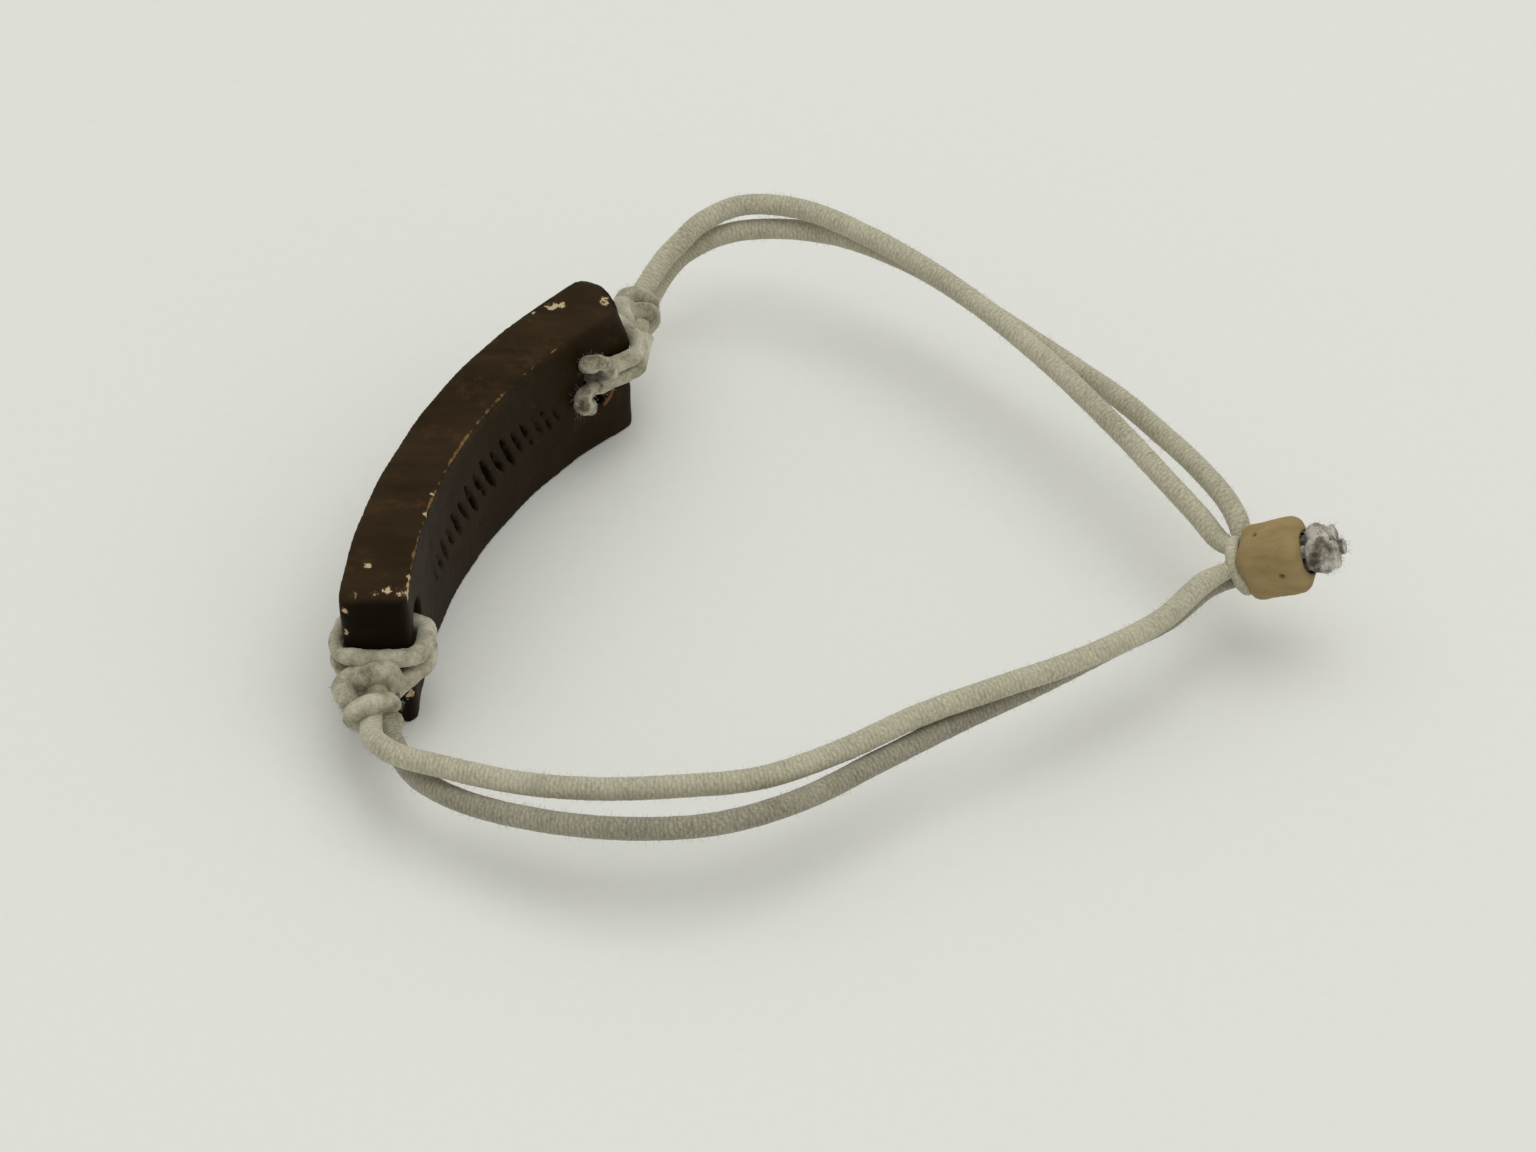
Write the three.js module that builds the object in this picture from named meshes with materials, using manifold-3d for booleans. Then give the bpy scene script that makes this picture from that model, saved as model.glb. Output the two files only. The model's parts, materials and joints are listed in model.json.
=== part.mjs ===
// Bracelet: a curved wooden bar with a hole near each end, four strands of fabric-covered elastic cord
// knotted round the bar's ends, and a small wooden bead that gathers the strands.
// Units are millimetres. +Z is up, and the origin is the middle of the bar's flat underside.
import * as THREE from "three";
import { RoundedBoxGeometry } from "three/addons/geometries/RoundedBoxGeometry.js";
import { mergeVertices } from "three/addons/utils/BufferGeometryUtils.js";
import Module from "manifold-3d";

const wasm = await Module();
wasm.setup();

// Clearance that is left between pieces that touch on the real bracelet.
const GAP = 0.3;

// Wooden bar: an arc band that stands on its long narrow edge, concave face towards the loop.
const BAR_MID_RADIUS = 58.2;
const BAR_HALF_LENGTH = 22.4;
const BAR_THICK_MIDDLE = 5.1;
const BAR_THICK_ENDS = 5.9;
const BAR_HEIGHT_MIDDLE = 14.8;
const BAR_HEIGHT_ENDS = 14.2;
const BAR_END_CORNER = 1.3;
const BAR_TOP_CORNER = 1.8;
const BAR_TURN = THREE.MathUtils.degToRad(64.8);

// Cord holes through the bar, one near each end.
const HOLE_FROM_END = 4.4;
const HOLE_WIDTH = 3.8;
const HOLE_HEIGHT = 5.6;
const HOLE_CENTRE_UP = 7.6;

// Covered elastic cord: a rubber core inside a knitted cover.
const CORD_DIAMETER = 1.9;
const COVER_WALL = 0.2;
const CORD_SIDES = 8;
const STRAND_STEPS = 24;
const TURN_STEPS = 26;

// Turns of cord through each hole and round each end of the bar, pulled tight and so a little thinner.
const TURN_DIAMETER = 1.6;
const NEAR_UPPER_UP = 9.0;
const NEAR_LOWER_UP = 6.8;
const FAR_UPPER_UP = 9.2;
const FAR_LOWER_UP = 7.0;

// Bead: a wooden block with rounded edges and a bore along its own X axis.
const BEAD_LENGTH = 5.8;
const BEAD_WIDTH = 5.3;
const BEAD_EDGE_RADIUS = 1.2;
const BEAD_PLACE = new THREE.Vector3(70.2, -12.1, 10);
const BEAD_TURN = THREE.MathUtils.degToRad(-14);
const BEAD_TILT = THREE.MathUtils.degToRad(-28);

// Strands squeezed thin inside the bore, the binding turn at its mouth and the closing knot behind it.
const SQUEEZED_DIAMETER = 1.1;
const STRAND_COUNT = 4;
const CLOSING_KNOT_RADIUS = 2.3;
const CLOSING_KNOT_LENGTH = 2.4;
const CUT_END_LENGTH = 1.3;

const finishes = {
  wood: { color: 0x3a2316, roughness: 0.45, metalness: 0 },
  cover: { color: 0xb9b5a0, roughness: 0.9, metalness: 0 },
  soiled: { color: 0x8f8c86, roughness: 0.95, metalness: 0 },
  rubber: { color: 0xcfc8b4, roughness: 0.7, metalness: 0 },
  bead: { color: 0xa98a5e, roughness: 0.6, metalness: 0 },
};

function named(name, geometry, finish) {
  const mesh = new THREE.Mesh(geometry, new THREE.MeshStandardMaterial(finishes[finish]));
  mesh.name = name;
  return mesh;
}

// Closed solid for cutting and joining, with only its positions left.
function solid(geometry) {
  const bare = geometry.clone();
  bare.deleteAttribute("normal");
  bare.deleteAttribute("uv");
  const merged = mergeVertices(bare);
  const vertProperties = new Float32Array(merged.attributes.position.array);
  const triVerts = new Uint32Array(merged.index.array);
  return new wasm.Manifold(new wasm.Mesh({ numProp: 3, vertProperties, triVerts }));
}

function geometryOf(body) {
  const mesh = body.getMesh();
  const geometry = new THREE.BufferGeometry();
  geometry.setAttribute("position", new THREE.BufferAttribute(mesh.vertProperties, 3));
  geometry.setIndex(new THREE.BufferAttribute(mesh.triVerts, 1));
  return geometry;
}

// Point beside the bar's middle line: along it from the middle, out from it on the convex side, and up.
function onBar(along, out, up) {
  const angle = along / BAR_MID_RADIUS;
  const radius = BAR_MID_RADIUS + out;
  return new THREE.Vector3(radius * Math.sin(angle), radius * Math.cos(angle) - BAR_MID_RADIUS, up);
}

function ring(radius, sides) {
  const points = [];
  for (let i = 0; i < sides; i += 1) {
    const angle = (2 * Math.PI * (i + 0.5)) / sides;
    points.push(new THREE.Vector2(radius * Math.cos(angle), radius * Math.sin(angle)));
  }
  return points;
}

// Tube along a smooth route. A bore radius over zero makes it hollow, open at both ends.
function tube(points, radius, steps, boreRadius = 0) {
  const section = new THREE.Shape(ring(radius, CORD_SIDES));
  if (boreRadius > 0) {
    section.holes.push(new THREE.Path(ring(boreRadius, CORD_SIDES)));
  }
  const route = new THREE.CatmullRomCurve3(points, false, "centripetal");
  return new THREE.ExtrudeGeometry(section, { steps, bevelEnabled: false, extrudePath: route });
}

// Points of a circular arc in a plane, from one angle to another.
function arcPoints(centreX, centreY, radius, from, to, count) {
  const points = [];
  for (let i = 0; i <= count; i += 1) {
    const angle = from + ((to - from) * i) / count;
    points.push(new THREE.Vector2(centreX + radius * Math.cos(angle), centreY + radius * Math.sin(angle)));
  }
  return points;
}

// Corner of an outline, rounded from a point before it to a point after it.
function corner(before, at, after, reach) {
  const start = at.clone().add(before.clone().sub(at).setLength(reach));
  const end = at.clone().add(after.clone().sub(at).setLength(reach));
  return new THREE.QuadraticBezierCurve(start, at, end).getPoints(4);
}

// Plan of the bar, seen from above: outer arc, end face, inner arc, end face.
function barPlan() {
  const half = BAR_HALF_LENGTH / BAR_MID_RADIUS;
  const outerRadius = BAR_MID_RADIUS + BAR_THICK_MIDDLE / 2;
  const innerEnd = onBar(BAR_HALF_LENGTH, BAR_THICK_MIDDLE / 2 - BAR_THICK_ENDS, 0);
  const innerSag = -BAR_THICK_MIDDLE / 2 - innerEnd.y;
  const innerRadius = (innerEnd.x ** 2 + innerSag ** 2) / (2 * innerSag);
  const innerCentre = -BAR_THICK_MIDDLE / 2 - innerRadius;
  const innerHalf = Math.asin(innerEnd.x / innerRadius);
  const trimOuter = BAR_END_CORNER / outerRadius;
  const trimInner = BAR_END_CORNER / innerRadius;
  const up = Math.PI / 2;
  const outer = arcPoints(0, -BAR_MID_RADIUS, outerRadius, up - half + trimOuter, up + half - trimOuter, 22);
  const inner = arcPoints(0, innerCentre, innerRadius, up + innerHalf - trimInner, up - innerHalf + trimInner, 22);
  const outerCorner = new THREE.Vector2(outerRadius * Math.sin(half), outerRadius * Math.cos(half) - BAR_MID_RADIUS);
  const innerCorner = new THREE.Vector2(innerEnd.x, innerEnd.y);
  const mirror = (p) => new THREE.Vector2(-p.x, p.y);
  const farOuter = corner(innerCorner, outerCorner, outer[0], BAR_END_CORNER);
  const farInner = corner(inner[inner.length - 1], innerCorner, outerCorner, BAR_END_CORNER);
  return [
    ...outer.slice(1, -1),
    ...farOuter.map(mirror).reverse(),
    ...farInner.map(mirror).reverse(),
    ...inner.slice(1, -1),
    ...farInner,
    ...farOuter,
  ];
}

// Side view of the bar: flat underside, crowned top, rounded corners.
function barElevation() {
  const halfWidth = onBar(BAR_HALF_LENGTH, BAR_THICK_MIDDLE / 2, 0).x + 1;
  const endLine = onBar(BAR_HALF_LENGTH, 0, 0).x + BAR_END_CORNER / 2;
  const rise = BAR_HEIGHT_MIDDLE - BAR_HEIGHT_ENDS;
  const crownRadius = (endLine ** 2 + rise ** 2) / (2 * rise);
  const crownHalf = Math.asin((endLine - BAR_TOP_CORNER) / crownRadius);
  const up = Math.PI / 2;
  const crown = arcPoints(0, BAR_HEIGHT_MIDDLE - crownRadius, crownRadius, up - crownHalf, up + crownHalf, 16);
  const low = new THREE.Vector2(halfWidth, 0);
  const lowInside = new THREE.Vector2(0, 0);
  const high = new THREE.Vector2(endLine, BAR_HEIGHT_ENDS);
  const foot = new THREE.Vector2(halfWidth, BAR_HEIGHT_ENDS / 3);
  const right = [
    ...corner(lowInside, low, foot, BAR_TOP_CORNER),
    ...corner(foot, high, crown[0], BAR_TOP_CORNER),
  ];
  const left = right.map((p) => new THREE.Vector2(-p.x, p.y)).reverse();
  return [...right, ...crown.slice(1, -1), ...left];
}

// Oval prism that cuts a cord hole through the bar's thickness.
function holeCutter(along) {
  const outline = ring(1, 20).map((p) => new THREE.Vector2((p.x * HOLE_WIDTH) / 2, (p.y * HOLE_HEIGHT) / 2));
  const depth = 3 * BAR_THICK_ENDS;
  const prism = new THREE.ExtrudeGeometry(new THREE.Shape(outline), { depth, bevelEnabled: false });
  prism.translate(0, 0, -depth / 2);
  const centre = onBar(along, 0, HOLE_CENTRE_UP);
  const outwards = onBar(along, 1, HOLE_CENTRE_UP).sub(centre);
  const upwards = new THREE.Vector3(0, 0, 1);
  const sideways = new THREE.Vector3().crossVectors(upwards, outwards);
  prism.applyMatrix4(new THREE.Matrix4().makeBasis(sideways, upwards, outwards).setPosition(centre));
  return prism;
}

function barSolid() {
  const plan = new THREE.ExtrudeGeometry(new THREE.Shape(barPlan()), {
    depth: 2 * BAR_HEIGHT_MIDDLE,
    bevelEnabled: false,
  });
  plan.translate(0, 0, -BAR_HEIGHT_MIDDLE / 2);
  const depth = 4 * BAR_HEIGHT_MIDDLE;
  const elevation = new THREE.ExtrudeGeometry(new THREE.Shape(barElevation()), { depth, bevelEnabled: false });
  elevation.translate(0, 0, -depth / 2);
  elevation.rotateX(Math.PI / 2);
  let body = solid(plan).intersect(solid(elevation));
  for (const side of [-1, 1]) {
    body = body.subtract(solid(holeCutter(side * (BAR_HALF_LENGTH - HOLE_FROM_END))));
  }
  return body;
}

// Levels of the cord's middle line beside the bar's faces, seen from above.
const CORD_RADIUS = CORD_DIAMETER / 2;
const TURN_RADIUS = TURN_DIAMETER / 2;
const INNER_OUT = BAR_THICK_MIDDLE / 2 - BAR_THICK_ENDS - TURN_RADIUS - GAP;
const OUTER_OUT = BAR_THICK_MIDDLE / 2 + TURN_RADIUS + GAP;
const END_ALONG = BAR_HALF_LENGTH + TURN_RADIUS + GAP;
const HOLE_ALONG = BAR_HALF_LENGTH - HOLE_FROM_END;

// Half of a turn round an end of the bar: out of the hole's middle, over one face and towards the end.
function halfTurn(side, faceOut, up) {
  const reach = TURN_RADIUS + GAP;
  return [
    onBar(side * HOLE_ALONG, Math.sign(faceOut) * GAP, up),
    onBar(side * HOLE_ALONG, faceOut * 0.6, up),
    onBar(side * (HOLE_ALONG + 0.6), faceOut * 0.93, up),
    onBar(side * (HOLE_ALONG + 1.9), faceOut, up),
    onBar(side * (END_ALONG - 1.6 * reach), faceOut, up),
    onBar(side * (END_ALONG - 0.4 * reach), faceOut * 0.82, up),
  ];
}

// Whole turn: through the hole and right round the end, with its two ends meeting inside the hole.
function wholeTurn(side, up) {
  const across = [
    onBar(side * END_ALONG, INNER_OUT * 0.35, up),
    onBar(side * END_ALONG, OUTER_OUT * 0.35, up),
  ];
  return [...halfTurn(side, INNER_OUT, up), ...across, ...halfTurn(side, OUTER_OUT, up).reverse()];
}

// Open turn: from one side of the knot, over a face, through the hole and back to the knot's other side.
function openTurn(side, up) {
  const throughHole = [onBar(side * HOLE_ALONG, 0, up)];
  const inner = halfTurn(side, INNER_OUT, up).slice(1);
  const outer = halfTurn(side, OUTER_OUT, up).slice(1);
  const innerEnd = onBar(side * (END_ALONG + 0.5), INNER_OUT * 0.75, up);
  const outerEnd = onBar(side * (END_ALONG + 0.5), OUTER_OUT * 0.85, up);
  return [innerEnd, ...inner.reverse(), ...throughHole, ...outer, outerEnd];
}

// Knot: loops of cord pulled tight round a full middle, with room cut for the cords that lie against it.
function knotSolid(place, size, loops, neighbours) {
  let body = solid(new THREE.SphereGeometry(1, 12, 8).scale(size.x * 0.8, size.y * 0.8, size.z * 0.8));
  for (const loop of loops) {
    const torus = new THREE.TorusGeometry(0.62, 0.38, 6, 14);
    torus.rotateX(loop.tip);
    torus.rotateZ(loop.turn);
    torus.scale(size.x, size.y, size.z);
    body = body.add(solid(torus));
  }
  body = body.translate([place.x, place.y, place.z]);
  for (const points of neighbours) {
    body = body.subtract(solid(tube(points, TURN_RADIUS + GAP, TURN_STEPS)));
  }
  return body;
}

const KNOT_LOOPS = [
  { tip: 0.4, turn: 0.2 },
  { tip: 1.3, turn: 0.9 },
  { tip: 1.9, turn: 2.4 },
];

const nearUpper = wholeTurn(-1, NEAR_UPPER_UP);
const nearLower = openTurn(-1, NEAR_LOWER_UP);
const farUpper = wholeTurn(1, FAR_UPPER_UP);
const farLower = openTurn(1, FAR_LOWER_UP);
const nearKnotPlace = onBar(-BAR_HALF_LENGTH - 3.2, -0.3, 7.0);
const farKnotPlace = onBar(BAR_HALF_LENGTH + 3.1, 0.9, 7.8);
const nearKnotSize = new THREE.Vector3(2.5, 2.8, 2.4);
const farKnotSize = new THREE.Vector3(2.2, 2.3, 2.4);

// Cut end of the cord that lies over the far hole on the inner face.
const farTail = [
  onBar(HOLE_ALONG - 1.5, INNER_OUT - 0.1, 10.8),
  onBar(HOLE_ALONG - 2.3, INNER_OUT - 0.2, 9.8),
  onBar(HOLE_ALONG - 2.2, INNER_OUT - 0.2, 8.5),
  onBar(HOLE_ALONG - 2.8, INNER_OUT - 0.1, 7.2),
  onBar(HOLE_ALONG - 3.6, INNER_OUT, 6.2),
];

const barGroup = new THREE.Group();
barGroup.rotation.z = BAR_TURN;
barGroup.add(
  named("wood_bar", geometryOf(barSolid()), "wood"),
  named("near_upper_turn", tube(nearUpper, TURN_RADIUS, TURN_STEPS), "cover"),
  named("near_lower_turn", tube(nearLower, TURN_RADIUS, TURN_STEPS), "cover"),
  named("near_knot", geometryOf(knotSolid(nearKnotPlace, nearKnotSize, KNOT_LOOPS, [nearUpper, nearLower])), "cover"),
  named("far_upper_turn", tube(farUpper, TURN_RADIUS, TURN_STEPS), "cover"),
  named("far_lower_turn", tube(farLower, TURN_RADIUS, TURN_STEPS), "cover"),
  named("far_knot", geometryOf(knotSolid(farKnotPlace, farKnotSize, KNOT_LOOPS, [farUpper, farLower])), "cover"),
  named("far_tail", tube(farTail, TURN_RADIUS, 8), "soiled"),
);

// Routes of the four strands, from the knots to the bead's mouth.
const strandRoutes = {
  upper_front: [
    [15.5, 23.9, 7.7], [16.7, 26.2, 8.3], [17.8, 27.9, 9.0], [19.2, 29.1, 9.9], [21.1, 30.8, 10.8],
    [24.7, 32.1, 11.8], [30.2, 30.8, 12.5], [37.4, 25.9, 12.7], [44.5, 19.4, 12.4], [51.3, 11.7, 11.7],
    [57.8, 2.8, 10.8], [61.0, -2.0, 10.2], [64.2, -6.1, 9.0], [65.7, -8.0, 8.2],
  ],
  upper_back: [
    [16.2, 25.6, 5.5], [17.4, 28.5, 5.9], [19.2, 30.3, 7.2], [22.9, 31.2, 9.0],
    [27.5, 31.1, 9.9], [33.9, 29.5, 10.3], [41.0, 25.3, 10.2], [48.1, 18.5, 9.9], [54.9, 11.6, 9.8],
    [58.2, 7.9, 9.9], [61.4, 3.7, 9.8], [64.6, -1.1, 9.8], [67.1, -6.6, 9.8],
  ],
  lower_front: [
    [-5.3, -27.9, 7.9], [-4.8, -30.2, 7.9], [-3.7, -32.0, 8.1], [-2.4, -33.0, 8.3], [0.9, -34.3, 8.5],
    [7.5, -36.4, 8.8], [13.9, -37.3, 9.1], [20.3, -37.1, 9.2], [26.7, -36.4, 9.4], [33.1, -33.7, 9.6],
    [39.6, -29.9, 9.8], [46.2, -26.8, 9.8], [52.9, -23.7, 9.8], [59.8, -19.1, 9.6], [64.0, -14.2, 9.3],
  ],
  lower_back: [
    [-3.7, -27.6, 6.0], [-3.1, -29.6, 5.6], [-2.3, -31.3, 5.6], [-1.2, -33.0, 5.8], [0.9, -35.1, 6.3],
    [4.2, -37.1, 6.7], [10.8, -39.9, 7.9], [17.2, -41.1, 8.6], [23.5, -40.5, 8.6], [29.8, -37.9, 8.4],
    [36.3, -33.3, 8.0], [42.9, -28.7, 7.8], [49.7, -24.3, 7.6], [56.5, -19.7, 7.6], [60.8, -16.7, 7.4],
    [64.6, -12.7, 7.2],
  ],
};

// Knots as they stand beside the drawn routes. A route's first stretch moves with its knot.
const NEAR_KNOT_DRAWN = new THREE.Vector3(-5.24, -24.78, 7.0);
const FAR_KNOT_DRAWN = new THREE.Vector3(14.91, 20.69, 7.8);
const FOLLOWING_STRETCH = 25;

function followKnot(route, shift) {
  let run = 0;
  return route.map((place, index) => {
    const point = new THREE.Vector3(...place);
    run += index > 0 ? point.distanceTo(new THREE.Vector3(...route[index - 1])) : 0;
    return point.addScaledVector(shift, Math.max(0, 1 - run / FOLLOWING_STRETCH));
  });
}

const root = new THREE.Group();
root.add(barGroup);
const upwards = new THREE.Vector3(0, 0, 1);
const nearShift = nearKnotPlace.clone().applyAxisAngle(upwards, BAR_TURN).sub(NEAR_KNOT_DRAWN);
const farShift = farKnotPlace.clone().applyAxisAngle(upwards, BAR_TURN).sub(FAR_KNOT_DRAWN);
for (const [place, route] of Object.entries(strandRoutes)) {
  const points = followKnot(route, place.startsWith("upper") ? farShift : nearShift);
  const boreRadius = CORD_RADIUS - COVER_WALL;
  root.add(named(`strand_cover_${place}`, tube(points, CORD_RADIUS, STRAND_STEPS, boreRadius), "cover"));
  root.add(named(`strand_core_${place}`, tube(points, boreRadius - GAP, STRAND_STEPS), "rubber"));
}

// Bead with everything that it holds, along its own X axis.
const half = BEAD_LENGTH / 2;
const squeezed = SQUEEZED_DIAMETER / 2;
const strandOffset = (SQUEEZED_DIAMETER + GAP) / 2;
const bundleRadius = strandOffset * Math.SQRT2 + squeezed;
const boreRadius = bundleRadius + GAP;
const wrapRadius = bundleRadius + GAP + squeezed;
const wrapPlace = -half - GAP - squeezed;
const knotStart = half + GAP;

function alongX(radius, from, to, sides) {
  const rod = new THREE.CylinderGeometry(radius, radius, to - from, sides);
  rod.rotateZ(-Math.PI / 2);
  rod.translate((from + to) / 2, 0, 0);
  return rod;
}

function beadSolid() {
  const block = solid(new RoundedBoxGeometry(BEAD_LENGTH, BEAD_WIDTH, BEAD_WIDTH, 3, BEAD_EDGE_RADIUS));
  return block.subtract(solid(alongX(boreRadius, -BEAD_LENGTH, BEAD_LENGTH, 24)));
}

// Cut end of one strand: leaves the closing knot at a slant, in its own direction.
function cutEnd(index, radius, start) {
  const rod = alongX(radius, start, CUT_END_LENGTH, CORD_SIDES);
  rod.rotateZ(0.45);
  const round = (2 * Math.PI * (index + 0.5)) / STRAND_COUNT;
  rod.translate(knotStart + CLOSING_KNOT_LENGTH * 0.7, CLOSING_KNOT_RADIUS * 0.42, 0);
  rod.rotateX(round);
  return rod;
}

function closingKnotSolid() {
  const middle = knotStart + CLOSING_KNOT_LENGTH / 2;
  const ball = new THREE.SphereGeometry(1, 14, 8);
  ball.scale(CLOSING_KNOT_LENGTH / 2, CLOSING_KNOT_RADIUS * 0.85, CLOSING_KNOT_RADIUS * 0.85);
  ball.translate(middle, 0, 0);
  const tubeRadius = CLOSING_KNOT_LENGTH * 0.3;
  const loop = new THREE.TorusGeometry(CLOSING_KNOT_RADIUS - tubeRadius, tubeRadius, 6, 16);
  loop.rotateY(Math.PI / 2);
  loop.translate(knotStart + tubeRadius, 0, 0);
  let body = solid(ball).add(solid(loop));
  for (let i = 0; i < STRAND_COUNT; i += 1) {
    body = body.subtract(solid(cutEnd(i, squeezed + GAP, -GAP)));
  }
  return body;
}

const mouthWrap = new THREE.TorusGeometry(wrapRadius, squeezed, CORD_SIDES, 20);
mouthWrap.rotateY(Math.PI / 2);
mouthWrap.translate(wrapPlace, 0, 0);

const beadGroup = new THREE.Group();
beadGroup.position.copy(BEAD_PLACE);
beadGroup.rotation.set(0, BEAD_TILT, BEAD_TURN, "ZYX");
beadGroup.add(
  named("bead", geometryOf(beadSolid()), "bead"),
  named("mouth_wrap", mouthWrap, "cover"),
  named("closing_knot", geometryOf(closingKnotSolid()), "soiled"),
);
for (let i = 0; i < STRAND_COUNT; i += 1) {
  const round = (2 * Math.PI * (i + 0.5)) / STRAND_COUNT;
  const rod = alongX(squeezed, wrapPlace - squeezed, half, CORD_SIDES);
  const offset = strandOffset * Math.SQRT2;
  rod.translate(0, offset * Math.cos(round), offset * Math.sin(round));
  beadGroup.add(named(`bore_strand_${i + 1}`, rod, "cover"));
  beadGroup.add(named(`cut_end_${i + 1}`, cutEnd(i, squeezed, 0), "soiled"));
}
root.add(beadGroup);

export default root;
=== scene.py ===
import json
import math

import bmesh
import bpy
import numpy as np
from mathutils import Matrix, Vector

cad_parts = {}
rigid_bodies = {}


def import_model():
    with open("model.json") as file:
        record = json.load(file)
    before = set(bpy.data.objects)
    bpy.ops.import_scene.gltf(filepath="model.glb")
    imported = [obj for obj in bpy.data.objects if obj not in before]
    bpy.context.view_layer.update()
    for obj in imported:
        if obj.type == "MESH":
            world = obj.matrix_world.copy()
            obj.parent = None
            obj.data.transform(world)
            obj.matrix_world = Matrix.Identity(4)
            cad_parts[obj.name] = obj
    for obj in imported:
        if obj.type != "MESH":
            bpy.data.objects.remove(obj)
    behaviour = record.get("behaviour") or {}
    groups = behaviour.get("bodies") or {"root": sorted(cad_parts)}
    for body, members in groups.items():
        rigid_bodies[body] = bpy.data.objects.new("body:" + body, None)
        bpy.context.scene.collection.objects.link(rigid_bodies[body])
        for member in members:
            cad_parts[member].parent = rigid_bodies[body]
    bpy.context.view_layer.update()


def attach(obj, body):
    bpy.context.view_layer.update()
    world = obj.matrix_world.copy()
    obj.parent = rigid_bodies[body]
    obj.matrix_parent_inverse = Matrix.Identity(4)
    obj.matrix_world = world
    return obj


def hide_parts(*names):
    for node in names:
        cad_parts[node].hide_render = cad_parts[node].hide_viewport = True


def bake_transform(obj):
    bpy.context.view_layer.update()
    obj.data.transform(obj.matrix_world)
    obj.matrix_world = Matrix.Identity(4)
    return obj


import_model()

# ---------------------------------------------------------------- sizes

# Sizes with MM are in metres. The bar's, the bead's and the routes' are in millimetres, as on_bar and on_bead
# take them.
MM = 0.001
CORD_DIAMETER = 1.9 * MM
TURN_DIAMETER = 1.6 * MM
RIB_PITCH = 0.36 * MM
RIB_DEPTH = 0.028 * MM
RIB_STEP = 0.1 * MM
RIB_MIDDLE = 0.6
STITCHES_ROUND = 8
CORD_SIDES = 24

BAR_MID_RADIUS = 58.2
BAR_HALF_LENGTH = 22.4
BAR_THICK_MIDDLE = 5.1
BAR_THICK_ENDS = 5.9
BAR_TURN = math.radians(64.8)
HOLE_ALONG = BAR_HALF_LENGTH - 4.4
HOLE_HALF_WIDTH = 1.9
HOLE_HALF_HEIGHT = 2.8
HOLE_UP = 7.6
BAR_VOXEL = 0.2 * MM

BEAD_LENGTH = 5.8
BEAD_PLACE = Vector((70.2, -12.1, 10.0))
BEAD_TURN = math.radians(-14)
BEAD_TILT = math.radians(-28)
BEAD_VOXEL = 0.12 * MM

# Routes of the four strands in millimetres, from the knots to the bead's mouth.
STRAND_ROUTES = {
    "upper_front": [
        (15.5, 23.9, 7.7), (16.7, 26.2, 8.3), (17.8, 27.9, 9.0), (19.2, 29.1, 9.9), (21.1, 30.8, 10.8),
        (24.7, 32.1, 11.8), (30.2, 30.8, 12.5), (37.4, 25.9, 12.7), (44.5, 19.4, 12.4), (51.3, 11.7, 11.7),
        (57.8, 2.8, 10.8), (61.0, -2.0, 10.2), (64.2, -6.1, 9.0), (65.7, -8.0, 8.2),
    ],
    "upper_back": [
        (16.2, 25.6, 5.5), (17.4, 28.5, 5.9), (19.2, 30.3, 7.2), (22.9, 31.2, 9.0),
        (27.5, 31.1, 9.9), (33.9, 29.5, 10.3), (41.0, 25.3, 10.2), (48.1, 18.5, 9.9), (54.9, 11.6, 9.8),
        (58.2, 7.9, 9.9), (61.4, 3.7, 9.8), (64.6, -1.1, 9.8), (67.1, -6.6, 9.8),
    ],
    "lower_front": [
        (-5.2, -28.2, 6.7), (-4.8, -30.2, 7.3), (-3.7, -32.0, 8.1), (-2.4, -33.0, 8.3), (0.9, -34.3, 8.5),
        (7.5, -36.4, 8.8), (13.9, -37.3, 9.1), (20.3, -37.1, 9.2), (26.7, -36.4, 9.4), (33.1, -33.7, 9.6),
        (39.6, -29.9, 9.8), (46.2, -26.8, 9.8), (52.9, -23.7, 9.8), (59.8, -19.1, 9.6), (64.0, -14.2, 9.3),
    ],
    "lower_back": [
        (-3.9, -27.6, 5.4), (-3.1, -29.6, 5.4), (-2.3, -31.3, 5.6), (-1.2, -33.0, 5.8), (0.9, -35.1, 6.3),
        (4.2, -37.1, 6.7), (10.8, -39.9, 7.9), (17.2, -41.1, 8.6), (23.5, -40.5, 8.6), (29.8, -37.9, 8.4),
        (36.3, -33.3, 8.0), (42.9, -28.7, 7.8), (49.7, -24.3, 7.6), (56.5, -19.7, 7.6), (60.8, -16.7, 7.4),
        (64.6, -12.7, 7.2),
    ],
}

# ---------------------------------------------------------------- camera and light

CAMERA_TARGET = Vector((27.3, -4.2, 0)) * MM
CAMERA_DISTANCE = 340 * MM
CAMERA_HEIGHT_ANGLE = math.radians(45)
CAMERA_LENS = 91.17
CAMERA_SENSOR = 36
SKY_STRENGTH = 0.62
LAMP_DISTANCE = 0.9


def place_camera():
    lens = bpy.data.cameras.new("camera")
    lens.lens = CAMERA_LENS
    lens.sensor_width = CAMERA_SENSOR
    lens.clip_start = 0.01
    lens.clip_end = 10
    camera = bpy.data.objects.new("camera", lens)
    back = Vector((0, -math.cos(CAMERA_HEIGHT_ANGLE), math.sin(CAMERA_HEIGHT_ANGLE)))
    camera.location = CAMERA_TARGET + back * CAMERA_DISTANCE
    camera.rotation_euler = (math.pi / 2 - CAMERA_HEIGHT_ANGLE, 0, 0)
    bpy.context.scene.collection.objects.link(camera)
    bpy.context.scene.camera = camera


def soft_lamp(name, direction, size, power, colour):
    lamp = bpy.data.lights.new(name, "AREA")
    lamp.shape = "DISK"
    lamp.size = size
    lamp.energy = power
    lamp.color = colour
    holder = bpy.data.objects.new(name, lamp)
    away = Vector(direction).normalized()
    holder.location = CAMERA_TARGET + away * LAMP_DISTANCE
    holder.rotation_euler = away.to_track_quat("Z", "Y").to_euler()
    bpy.context.scene.collection.objects.link(holder)


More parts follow.
